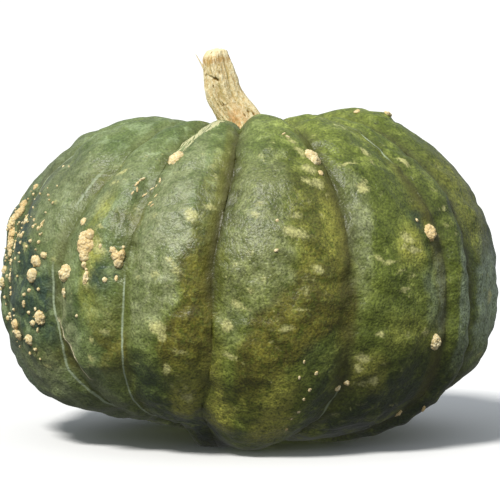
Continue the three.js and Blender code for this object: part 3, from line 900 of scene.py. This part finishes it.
# %% Flecks
# strength, then turn, latitude (degrees), length across and height (mm), and a slant
# (degrees) for those that don't lie level
FLECKS = {
    1: [
        (2.66, 66, 6, 8, -35), (2.43, 95, 9, 6, 20), (2.48, 97.5, 5, 5), (3.11, 94.6, 6, 5, 15),
        (3.53, 71.3, 7, 6), (3.52, 95, 6, 3.5), (3.77, 51, 8, 5), (3.83, 55.5, 7, 6, -20),
        (4.63, 45, 4, 6, -25), (4.28, 57.5, 7, 5), (4.6, 73.5, 7, 5, 30), (4.65, 77.3, 7, 3.5, 10),
        (4.52, 88.3, 7, 2.5, -20), (4.26, 97.8, 4, 3), (4.26, 114.5, 5, 5), (5.26, 49.5, 3, 8, -25),
        (0.52, 78.3, 5, 5), (6.33, 91.5, 6, 8),
    ],
    0.9: [
        (2.8, 127, 7, 7), (3.17, 90.3, 5, 6, -20), (3.14, 103.6, 7, 3, 12), (3.61, 71.8, 7, 5),
        (3.58, 66.5, 7, 3, -15), (3.74, 81.8, 7, 4, 25), (3.74, 45, 4, 8, -35),
        (4.26, 49.2, 10, 2.2, -12), (4.26, 79, 3, 6, -50), (4.36, 80.5, 9, 2.2), (4.13, 106, 8, 5),
        (1.35, 52, 8, 4, -35),
    ],
    0.8: [
        (2.57, 80, 3, 9, -45), (2.64, 82.5, 6, 4, 30), (2.84, 62.5, 7, 4), (2.53, 109, 5, 6),
        (3.27, 87.5, 2.5, 6, -50), (3.61, 91, 9, 1.8), (3.68, 41, 3, 8, -35), (3.71, 55, 6, 4),
        (4.54, 76, 5, 3, -20), (4.47, 83, 8, 2.5, -25), (4.75, 98, 5, 4), (1.57, 70.5, 5, 2.5, 15),
        (1.68, 77.5, 9, 4, 20), (1.54, 86.5, 5, 7), (1.6, 99.5, 3, 6, -15),
    ],
    0.7: [
        (2.65, 102, 8, 4, 10), (2.59, 117, 3, 6), (3.36, 84, 2.5, 5, 30), (3.29, 62.5, 5, 3),
        (3.27, 66, 5, 4, 25), (3.65, 87.5, 6, 5), (3.28, 46, 4, 3), (3.9, 59, 3, 5),
        (4.6, 49, 3, 5, -20), (4.35, 55.5, 4, 4), (4.16, 116.5, 8, 4), (4.11, 110, 6, 6),
        (5.4, 66, 5, 4), (1.31, 56, 5, 5, -30), (1.58, 75, 5, 6), (1.77, 97, 6, 3),
        (1.56, 106, 5, 4), (6.29, 74, 5, 6),
    ],
    0.6: [
        (2.39, 83.5, 6, 6), (2.81, 52, 4, 6), (3.25, 91, 5, 2.5, 15), (3.17, 80.3, 6, 4),
        (3.25, 77, 5, 4), (3.67, 84.5, 7, 3), (3.79, 88.7, 4, 3), (3.43, 95.3, 5, 3),
        (3.42, 98.3, 5, 2.5), (3.69, 62, 4, 5), (4.58, 84.5, 8, 4, -15), (4.54, 98.5, 6, 3),
        (4.33, 108, 6, 2), (4.11, 134, 6, 2), (1.43, 56, 4, 4), (1.1, 54, 6, 2.5, -30),
        (1.5, 109, 5, 3), (0.91, 80.6, 5, 3), (0.68, 64, 5, 3), (0.28, 60, 4, 8, -15),
        (0.68, 107, 6, 3, -30), (0.76, 112, 8, 5), (5.82, 60, 5, 4), (6.3, 110, 6, 6),
    ],
    0.5: [
        (2.57, 86.5, 6, 2.5, 20), (2.29, 100, 5, 3), (2.76, 119, 5, 5), (3.61, 75, 7, 3),
        (3.41, 44, 5, 2), (3.58, 57, 4, 3), (3.81, 66, 4, 5), (4.46, 60, 4, 3), (4.82, 62, 6, 3),
        (5.41, 60, 4, 5), (5.44, 74, 3, 4), (5.18, 42, 4, 5), (1.61, 45, 8, 4), (1.81, 92.5, 6, 3),
        (0.47, 47, 8, 3, -20), (6.38, 60, 6, 6), (6.2, 52, 6, 5),
    ],
    0.4: [
        (4.32, 92, 5, 2.5),
    ],
}
SMALL_FLECK_COUNT = 420

placed = [(strength, *spot) for strength, spots in FLECKS.items() for spot in spots]
placed += [(strength, at + RIB_COUNT / 2, *rest) for strength, at, *rest in placed]
for _ in range(SMALL_FLECK_COUNT):
    spot = (chance.uniform(0, RIB_COUNT), chance.uniform(25, 150))
    size = (chance.uniform(2.5, 8), chance.uniform(2, 4.5), chance.gauss(0, 25))
    placed.append((chance.uniform(0.25, 0.55), *spot, *size))

fleck = np.zeros(len(turn))
for strength, at_turn, at_degrees, length, height, *slant in placed:
    near, aside, down = around(1.6 * max(length, height), at_turn, at_degrees, *slant)
    off = np.hypot(aside / length, down / height) * 2
    fleck[near] = np.maximum(fleck[near], strength * np.exp(-(off**2) * 0.7))
print("flecks:", len(placed))

# %% [markdown]
# Grooves differ. Shade is painted along them, darkest in the one before rib 3, from the
# stem to the waist, where its crease is deep. Others heal over in a pale crease along part
# of their length. Each row gives the groove, the latitudes where the line starts and ends,
# and how strong it is. A pale, flaky scar runs down the near shoulder of rib 2 from the
# stem.

# %% Creases and scars
PALE_CREASES = [
    (0, 36, 70, 0.6), (1, 80, 160, 0.9), (1, 48, 66, 0.6), (2, 82, 160, 1), (4, 116, 140, 0.6),
    (5, 20, 50, 1), (8, 40, 120, 0.7), (10, 60, 135, 0.8), (12, 50, 110, 0.6),
]
# Painted shade along these grooves.
CREASE_SHADES = [
    (1, 66, 96, 0.3), (2, 34, 84, 0.2), (3, 25, 93, 1), (3, 93, 125, 0.4), (4, 30, 92, 0.7),
    (4, 92, 120, 0.5), (5, 46, 130, 0.7), (6, 30, 130, 0.8), (7, 30, 130, 0.7), (9, 30, 130, 0.9),
    (11, 30, 120, 0.7), (13, 30, 120, 0.7),
]


def along_grooves(rows):
    """How strong a line is in the groove nearest each place."""
    found = np.zeros(len(turn))
    for groove, start, end, strength in rows:
        span = smooth(degrees, start, start + 6) * smooth(-degrees, -end, 6 - end)
        found = np.maximum(found, (nearest == groove) * strength * span)
    return found * (np.abs(from_groove) < 9)


pale_crease, crease_shade = along_grooves(PALE_CREASES), along_grooves(CREASE_SHADES)

# A pale crease runs a little beside the bottom of its groove. Two of them wander: each row
# gives the groove, some latitudes, and how many mm beside the groove the crease is there.
WANDERING = [
    (1, (84, 92, 99, 105, 110, 115, 124, 130), (4.6, 3.1, 0.6, 1.5, 3, 3.7, 2.3, 1)),
    (2, (83, 90, 97, 104, 115, 128), (1, 1.1, 2.4, 3, 3.7, 3.5)),
]
crease_mm = from_groove + 0.8
for groove, at, beside in WANDERING:
    wandered = from_groove + np.interp(degrees, at, beside)
    crease_mm = np.where(nearest == groove, wandered, crease_mm)

SCARS = [
    [(20, 2.1, 2.6), (25, 2.1, 2.66, 0.9), (30, 2.1, 2.56, 0.9), (34, 2.06, 2.36, 0.8),
     (40, 2.06, 2.24, 0.7), (48, 2.08, 2.2)],
    [(28, 4.76, 4.84), (34, 4.78, 4.86, 0.7), (42, 4.8, 4.88)],
]
scar = zones(SCARS, 23)


# %% Shades of green
# The left of the fruit is a cooler green than the right, the more so near the stem.
x, y = plain_skin[:, 0], plain_skin[:, 1]
cool = smooth(-x - 55 * smooth(degrees, 60, 90), -35, 40)

# Painted light and shade: the skin is painted paler round the stem and along the waist, and darker
# between them and low down.
PAINTED_LIGHT_AT = (32, 44, 56, 66, 78, 95, 108)
PAINTED_LIGHT = (1.12, 1.05, 0.88, 0.9, 1.03, 1.06, 0.89)
painted_light = np.interp(degrees, PAINTED_LIGHT_AT, PAINTED_LIGHT)

# Painted shade: the lower right, away from the sun, and the upper edges at both sides are painted a
# deeper green.
right = smooth(x, 10, 55) * smooth(-x, -108, -92)
painted_light *= 1 - 0.2 * right * smooth(degrees, 82, 92) * (1 + smooth(degrees, 100, 112))
painted_light *= 1 - 0.22 * smooth(x, 58, 88) * smooth(-degrees, -90, -78)
painted_light *= 1 - 0.25 * smooth(-x, 62, 95) * smooth(-degrees, -64, -52)

# The skin round the knob under the front is painted near black.
KNOB_DARK_RADIUS = 13  # mm
from_knob = np.hypot(x - KNOB["x"], y - KNOB["y"])
knob = np.exp(-((from_knob / KNOB_DARK_RADIUS) ** 4)) * (degrees > 120)

bearing = 2 * math.pi * turn / RIB_COUNT
marks = dict(
    groove_mm=from_groove, by_groove=by_groove, crease_mm=crease_mm, pale_crease=pale_crease,
    crease_shade=crease_shade, lip_mm=from_lip, lip=lip, in_split=in_split, halo=halo, wax_and_painted_shine=wax_and_painted_shine,
    olive=olive, leaf=leaf, teal_and_painted_shade=teal_and_painted_shade, painted_reflection=painted_reflection, cool=cool, painted_light=painted_light, knob=knob,
    fleck=fleck, scar=scar, streak_x=np.sin(bearing), streak_y=np.cos(bearing),
    streak_z=latitude,
)
keep_marks(skin, {name: np.append(values, [0, 0]) for name, values in marks.items()})
print("marks kept on", len(skin_mesh.vertices), "vertices")

# %% [markdown]
# ## The finish of the skin
#
# Coats go on from the broadest to the finest: two greens, then olive, teal with its
# painted shade, bloom with its painted sheen, painted reflections, and painted light and
# shade over the whole skin, then flecks and grain, and last the lines and painted shade in
# the grooves. The skin is half matt, like waxed leather. Two of the noises follow the
# ribs, so their streaks run down the fruit.

# %% Skin colours
GREEN_DEEP, GREEN_MID, GREEN_PALE = map(paint, ("4f5c16", "707c30", "96a04c"))
COOL_DEEP, COOL_MID, COOL_PALE = map(paint, ("566833", "75834f", "8d9c76"))
OLIVE_DARK, OLIVE_BROWN, LEAF_GREEN = map(paint, ("5b561e", "777227", "aeac4b"))
# Of the next three, the dark teal also paints shade low down and round warts, the bloom grey also
# paints sheen, and the last grey paints reflections of the sky.
TEAL_DARK, WAX_SHINE_GREY, REFLECTION_GREY = map(paint, ("36493a", "8c9268", "9dab8f"))
FLECK_PALE, CREASE_PALE, SCAR_CREAM = map(paint, ("c0bd7c", "a6b392", "d6d2a0"))
# The near black colours the knob's surround, the skin round the warts, and small specks.
LIP_CREAM, NEAR_BLACK, BROWN_BLACK = map(paint, ("ece2b8", "262b17", "33301a"))

# %% Skin noises
finish = Finish(bpy.data.materials.new("waxy_green_skin"))
mark, coat = finish.mark, finish.coat

cloud = finish.noise(24, 3, 0.55, 0.4)
mottle = finish.noise(8, 3, 0.55, 0.5, 0.31)
patches = finish.noise(3.6, 3, 0.55, 0.3, 0.47)
grain = finish.noise(1.1, 1, 0.5, 0, 0.77)
wrinkles = finish.noise(2.2, 2, 0.6, 1.2, 0.63)
along_rib = {0: mark("streak_x") * 0.12, 1: mark("streak_y") * 0.12, 2: mark("streak_z") * 0.02}
streak_place = finish.add("ShaderNodeCombineXYZ", along_rib, "Vector")
streaks = finish.noise(2.6, 4, 0.65, 0.5, 0.2, place=streak_place)
threads = finish.noise(1.3, 4, 0.6, 0.6, 0.35, place=streak_place)

# %% Broad coats
deep = finish.mix(mark("cool"), GREEN_DEEP, COOL_DEEP)
mid = finish.mix(mark("cool"), GREEN_MID, COOL_MID)
pale = finish.mix(mark("cool"), GREEN_PALE, COOL_PALE)
brown = finish.mix(mottle.grade(0.36, 0.66), OLIVE_DARK, OLIVE_BROWN)
finish.colour = finish.mix(cloud.grade(0.3, 0.62), deep, mid)
coat(pale, mottle.grade(0.5, 0.68) * 0.5)
coat(brown, mark("olive"))
coat(LEAF_GREEN, mark("leaf"))
# Dark teal, real at the far left, and painted shade low down and round warts.
teal_shade_share = mark("teal_and_painted_shade") * mottle.grade(0.72, 0.42)
coat(TEAL_DARK, teal_shade_share)
# Waxy bloom, partly painted sheen on the lit shoulders.
coat(WAX_SHINE_GREY, mark("wax_and_painted_shine") * (mottle.grade(0.38, 0.55) * 0.5 + 0.45))
# Painted reflections of the sky.
coat(REFLECTION_GREY, mark("painted_reflection") * 0.85)
coat(deep, streaks.grade(0.48, 0.3) * 0.35)
coat(deep, patches.grade(0.48, 0.3) * 0.6)
warm = mark("cool") * -0.9 + 1
coat(deep, wrinkles.grade(0.48, 0.34) * (warm * 0.6))
coat(pale, patches.grade(0.54, 0.74) * (teal_shade_share * -1 + 1) * 0.4)
# Painted light and shade over the whole skin, with a random mottle in it.
coat((mottle * 0.9 + 0.55) * mark("painted_light"), 1.0, "MULTIPLY")

# %% Flecks, specks and grain
feather = finish.noise(2.6, 4, 0.65, 0.8, 0.15)
fleck_edge = mark("fleck") + (feather - 0.5) * 1.3
coat(FLECK_PALE, fleck_edge.grade(0.3, 0.85) * 0.85)
grit = (grain - 0.5) * (mark("cool") * -0.5 + 1.85)
coat(grit + 1, 1.0, "MULTIPLY")
coat(NEAR_BLACK, finish.dots(9, 0.075, 0.4) * 0.6)
coat(FLECK_PALE, finish.dots(11, 0.06, 0.9) * 0.5)

# %% Grooves, creases, scars and the split
# Painted shade: darker olive along every groove, brown-black where the crease is deep, and olive on
# its left flank.
coat(OLIVE_DARK, mark("by_groove") * 0.3)
coat(BROWN_BLACK, mark("by_groove") * mark("crease_shade") * 0.35)
left_flank = (mark("groove_mm") + 3.6).line(1.8, 2.6)
coat(OLIVE_BROWN, left_flank * mark("crease_shade") * 0.35)
crease_shade_band = (mark("groove_mm") + 0.8).line(0.6, 3.6)
coat(BROWN_BLACK, crease_shade_band * mark("crease_shade") * 0.5)
wobble = (finish.noise(6, 3, 0.6, 0, 0.6) - 0.5) * 1.1
crease_line = (mark("crease_mm") + wobble).line(0.25, 0.55)
coat(CREASE_PALE, crease_line * mottle.grade(0.15, 0.55) * mark("pale_crease"))
scar_edge = mark("scar") + (threads - 0.5) * 4
coat(SCAR_CREAM, scar_edge.grade(0.4, 0.9) * mark("scar").grade(0.02, 0.3) * 0.95)
coat(OLIVE_DARK, mark("in_split") * 0.65)
crumbs = finish.noise(1.5, 2, 0.6, 0.3, 0.9).grade(0.5, 0.6) * mark("in_split")
coat(LIP_CREAM, crumbs * (mark("lip_mm") + 1.6).line(0.6, 1.0))
coat(LIP_CREAM, mark("lip_mm").line(0.6, 0.6) * mark("lip"))
coat(NEAR_BLACK, mark("knob") * 0.8)
# Painted shade on the skin round the warts.
coat(NEAR_BLACK, mark("halo") * patches.grade(0.4, 0.6) * 0.5)

# %% [markdown]
# Pores and hair-fine wrinkles are too small for the mesh, so a bump node shades them.
# Everything larger is real relief.

# %% Pores
matt = mottle * 0.3 + 0.3
finish.settle(matt, 0.5, grain * 0.25 + patches * 0.75, 0.8, 0.0014)
skin_mesh.materials.append(finish.made)

# %% [markdown]
# ## The finish of the warts
#
# Cork is dry and open. It is tan, and each wart has a tone of its own. The crests of its
# crumbs are painted paler as highlight, and the creases between the lumps and the hollows
# between crumbs are brown, partly the cork's own brown and partly painted shade.

# %% Wart finish
# The brightest cork paints highlights, and the brown paints shade as well as the cork's own brown.
CORK_TAN, CORK_HIGHLIGHT = map(paint, ("efd79b", "fcf1c8"))
CORK_SHADE, CORK_ORANGE = map(paint, ("a1854c", "e8c283"))

finish = Finish(bpy.data.materials.new("crumbly_cork"))
mark, coat = finish.mark, finish.coat
crumb = finish.noise(1, 4, 0.7, 0.4, 0.2)
# Pale painted highlight where the crumbs stand up.
finish.colour = finish.mix(crumb.grade(0.42, 0.6), CORK_TAN, CORK_HIGHLIGHT)
coat(CORK_ORANGE, mark("tone").grade(0.3, 1) * 0.5)
# Brown in the creases and hollows: the cork's own brown and painted shade.
coat(CORK_SHADE, mark("crease") * 0.55)
coat(CORK_SHADE, crumb.grade(0.42, 0.3) * 0.7)
finish.settle(0.88, 0.15, crumb, 0.6, 0.0005)
for piece in (front_warts, back_warts):
    piece.data.materials.append(finish.made)

# %% [markdown]
# ## The stem
#
# The stem is a stack of rings. It flares where it meets the fruit, leans to the left as
# it rises, and ends in a rough cut. The CAD solid has ten rings. Here a smooth curve runs
# through the same ten, with many more rings on it.

# %% Stem rings
# height above the scar, x of the middle, radius (mm), tilt (degrees)
STEM_RINGS = np.array(
    [
        [0.3, -1.8, 12.8, 0],
        [3, -3, 10.8, 9],
        [6.5, -4.7, 9.5, 20],
        [10.5, -7.2, 9, 28],
        [15.5, -10.7, 8.5, 28],
        [20.5, -13.2, 8.4, 20],
        [26, -14.5, 8, 15],
        [32, -15.6, 7, 14],
        [37.8, -16.7, 6.1, 8],
        [40.4, -16.3, 4.8, 3],
    ]
)
STEM_ANGLES = 5
RIDGE_FOOT, RIDGE_CUT = 0.1, 0.04


def along_stem(share):
    """Height, middle, radius and tilt at a share of the way up, on a smooth curve."""
    last = len(STEM_RINGS) - 1
    step = np.clip(np.floor(share * last).astype(int), 0, last - 1)
    t = (share * last - step)[:, None]
    before, here, there, after = (
        STEM_RINGS[np.clip(step + offset, 0, last)] for offset in (-1, 0, 1, 2)
    )
    bend = 2 * before - 5 * here + 4 * there - after
    twist = 3 * here - before - 3 * there + after
    return 0.5 * (2 * here + (there - before) * t + bend * t**2 + twist * t**3)


# %% [markdown]
# The bark of the stem is bundles of dry fibre. Noise drawn out lengthwise gives ridges
# and furrows, sparse deep noise gives the dark pits, and one crack runs across the front
# where a plate of cork has lifted.

# %% Stem relief
STEM_SIDES = 200
STEM_ROWS = 170
STEM_RADIUS = 9  # mm, taken for the whole stem


def stem_noise(bearing, height, across, lengthwise, seed):
    """Noise on the bark: features are that many mm across and lengthwise."""
    x, y = STEM_RADIUS * np.sin(bearing) / across, STEM_RADIUS * np.cos(bearing) / across
    z = height / lengthwise
    return np.array(
        [noise.noise(Vector((a + seed, b, c))) for a, b, c in zip(x.ravel(), y.ravel(), z.ravel())]
    ).reshape(x.shape)


shares = np.linspace(0, 1, STEM_ROWS)
ring_height, ring_x, ring_radius, ring_tilt = along_stem(shares).T
bearing = np.linspace(0, 2 * math.pi, STEM_SIDES, endpoint=False)[None, :]
height = np.repeat(ring_height[:, None], STEM_SIDES, axis=1)
twisted = bearing + 0.012 * height
fibres = stem_noise(twisted, height, 1.3, 9, 5)
bundles = stem_noise(twisted, height, 4, 22, 9)
knobbly = stem_noise(twisted, height, 1.6, 2.4, 17)
crumbly = stem_noise(bearing, height, 0.9, 1.5, 23)
broad = stem_noise(bearing, height, 5, 7, 37)
wrapped = (bearing + math.pi) % (2 * math.pi) - math.pi


def stem_spot(strength, at_bearing, at_height, width, length, lean=0.0):
    """A soft oval on the bark, its middle and size in radians and mm."""
    across = (wrapped - at_bearing - lean * (height - at_height)) / width
    return strength * np.exp(-(across**2) - ((height - at_height) / length) ** 2)


# strength, bearing and height of the middle, width (radians), length (mm), and lean
SMALL_CRACKS = [
    (0.7, 0.05, 30, 0.07, 1.2), (0.6, -0.5, 31.8, 0.06, 0.8),
    (0.6, -0.38, 15.6, 0.13, 0.5, -0.1), (0.6, -0.14, 15.3, 0.12, 0.4, 0.1),
]
GULLIES = [
    (1, -0.1, 21, 0.12, 5), (0.9, 0.62, 27, 0.1, 6, 0.01), (0.6, 0.5, 17, 0.1, 4),
    (0.5, -0.75, 19, 0.09, 5),
]
PITS = [
    (0.9, 0.75, 9, 0.08, 0.7), (0.9, 0.95, 7.5, 0.07, 0.7), (0.6, 0.1, 5, 0.07, 0.6),
    (0.5, 0.2, 22.5, 0.05, 0.8),
]
LIP_LEFT, LIP_RIGHT = (-0.8, 29.8), (-0.12, 26.8)  # bearing and height of its ends
slope = (LIP_RIGHT[1] - LIP_LEFT[1]) / (LIP_RIGHT[0] - LIP_LEFT[0])
below_lip = LIP_LEFT[1] + slope * (wrapped - LIP_LEFT[0]) + 0.5 * knobbly - height
on_cap = smooth(wrapped, -1.1, -0.8) * smooth(-wrapped, 0, 0.16)
depth_here = 0.4 + 0.9 * smooth(wrapped, -0.8, 0)
crack = np.exp(-((below_lip / (0.35 + 0.4 * depth_here)) ** 2)) * on_cap * depth_here
cap = smooth(-below_lip, 0, 0.8) * smooth(39 - height, 0, 3) * on_cap
for row in SMALL_CRACKS:
    crack = np.maximum(crack, stem_spot(*row))
gullies = sum(stem_spot(*row) for row in GULLIES)
pits = sum(stem_spot(*row) for row in PITS)
pits = np.clip(pits + 0.8 * smooth(knobbly, 0.5, 0.75), 0, 1)
bark = 0.3 * fibres + 0.5 * bundles + 0.3 * knobbly + 0.16 * crumbly + 0.3 * broad
bark = bark * (1 + 0.5 * cap) - 0.5 * pits - 0.45 * crack - 0.6 * gullies + 0.5 * cap
bark = bark * (1 - 0.5 * smooth(height, 37, 38.8))
print("bark from", round(float(bark.min()), 2), "to", round(float(bark.max()), 2), "mm")

# %% Stem mesh
CUT_ROWS = 14

ridge = RIDGE_FOOT + (RIDGE_CUT - RIDGE_FOOT) * shares[:, None]
spread = ring_radius[:, None] * (1 + ridge * np.cos(STEM_ANGLES * bearing))
spread = spread + bark * smooth(height, 0.5, 2.5)
tilt = np.radians(ring_tilt)[:, None]
to_side = spread * np.sin(bearing)
stem_x = ring_x[:, None] + to_side * np.cos(tilt)
stem_y = -spread * np.cos(bearing)
stem_z = SCAR_HEIGHT + height + to_side * np.sin(tilt)
rings = list(np.stack([stem_x, stem_y, stem_z], axis=-1))

top_middle = np.array([ring_x[-1], 0, SCAR_HEIGHT + ring_height[-1]])
rim = rings[-1]
for inward in np.linspace(1, 0, CUT_ROWS + 1)[1:-1]:
    row = top_middle + (rim - top_middle) * inward
    row[:, 2] += 0.5 * soft_noise(row, 1.3) + 0.9 * (1 - inward**2)
    rings.append(row)

rings = [ring + TO_FRAME for ring in rings]
stem = close_rings("corky_stem", rings, rings[0].mean(axis=0), rings[-1].mean(axis=0))
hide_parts("stem")
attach(stem, "root")
print("stem vertices:", len(stem.data.vertices))

# %% Marks on the stem
def whole_stem(on_bark, on_cut=0, foot=0, top=0):
    """A mark's values on the bark, on the cut, and in the middle of the foot and the top."""
    return [*np.ravel(on_bark), *[on_cut] * ((CUT_ROWS - 1) * STEM_SIDES), foot, top]


# Painted shade where the fibres of the bark sink in.
hollow_shade = -0.9 * fibres - 0.9 * knobbly - 0.5 * crumbly - 0.4 * bundles
stem_marks = {
    "pit": whole_stem(np.clip(pits + crack, 0, 1)),
    "hollow_shade": whole_stem(np.clip(hollow_shade, 0, 1)),
    # Painted shade in the gullies and on low parts of the cap.
    "gully_shade": whole_stem(np.clip(gullies + 0.5 * cap * (broad < 0), 0, 1)),
    "cut": whole_stem(0.9 * smooth(height, 37.6, 38.8), 1, 0, 1),
    "foot": whole_stem(stem_spot(1, -0.2, 7, 0.6, 7), 0, 1, 0),
    "band": whole_stem(np.exp(-(((height - 36) / 1.7) ** 2))),
}
keep_marks(stem, stem_marks)

# %% [markdown]
# ## The finish of the stem
#
# Dry cork is straw and cream. Where its bumps stand up it is painted paler, cream and
# chalk, as highlight, and in the furrows, hollows and gullies it is ochre and olive tan, as
# painted shade. There is brown in the pits. It turns orange near the fruit, and the cut
# end is the palest part.

# %% Stem finish
STRAW, CREAM, BARK_HIGHLIGHT, OCHRE = map(paint, ("f3dca6", "fff2c8", "fdf5d4", "bf9a58"))
OLIVE_TAN, PIT_BROWN = map(paint, ("b8a25c", "8a6c34"))
FOOT_ORANGE, BAND_ORANGE = map(paint, ("e3ad70", "b98a45"))

finish = Finish(bpy.data.materials.new("dry_cork"))
mark, coat = finish.mark, finish.coat
streak = finish.noise(1.2, 4, 0.7, 0.5, 0.1, (1, 1, 0.3))
patch = finish.noise(5, 3, 0.6, 0.6, 0.4, (1, 1, 0.6))
grit = finish.noise(0.8, 3, 0.7, 0.3, 0.6)
dashes = finish.noise(1.7, 3, 0.6, 0.8, 0.9, (1, 1, 0.5))
# Cream and chalk where the bumps stand up are painted highlight; ochre where they sink is painted
# shade.
finish.colour = finish.mix(streak.grade(0.4, 0.6), STRAW, CREAM)
coat(OCHRE, grit.grade(0.48, 0.37) * 0.65)
coat(OLIVE_TAN, dashes.grade(0.46, 0.37) * 0.6)
coat(BARK_HIGHLIGHT, grit.grade(0.55, 0.64) * 0.8)
coat(FOOT_ORANGE, mark("foot") * patch.grade(0.33, 0.5) * 0.9)
coat(BAND_ORANGE, mark("band") * streak.grade(0.66, 0.46) * 0.8)
coat(OCHRE, patch.grade(0.54, 0.72) * 0.4)
# Painted shade in the hollows and gullies.
coat(OCHRE, mark("hollow_shade") * 0.6)
coat(OLIVE_TAN, mark("gully_shade") * 0.7)
coat(CREAM, mark("cut") * 0.5)
coat(PIT_BROWN, mark("pit").grade(0.1, 0.9))
finish.settle(0.85, 0.2, streak + grit, 0.7, 0.0005)
stem.data.materials.append(finish.made)

# %% [markdown]
# ## The loose fibre
#
# One dry fibre has come away from the cut end and stands up on its own. It is a thin
# tapered tube along a bent line.

# %% Loose fibre
FIBRE_PATH = np.array([(-22.2, -1, 176), (-23.6, -1, 178.8), (-24.9, -1, 181), (-26.5, -1, 183.8)])
FIBRE_RADII = (0.6, 0.4, 0.28, 0.14)
FIBRE_SIDES, FIBRE_ROWS = 8, 19

angles = np.arange(FIBRE_SIDES) * 2 * math.pi / FIBRE_SIDES
circle = np.stack([np.sin(angles), -np.cos(angles), 0.3 * np.sin(angles)], axis=-1)
fibre_rings = []
for share in np.linspace(0, 3, FIBRE_ROWS):
    place = np.array([np.interp(share, range(4), line) for line in FIBRE_PATH.T])
    radius = np.interp(share, range(4), FIBRE_RADII)
    fibre_rings.append(place + radius * circle + TO_FRAME)
fibre = close_rings("loose_fibre", fibre_rings, fibre_rings[0].mean(0), fibre_rings[-1].mean(0))
fibre.data.materials.append(finish.made)
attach(fibre, "root")
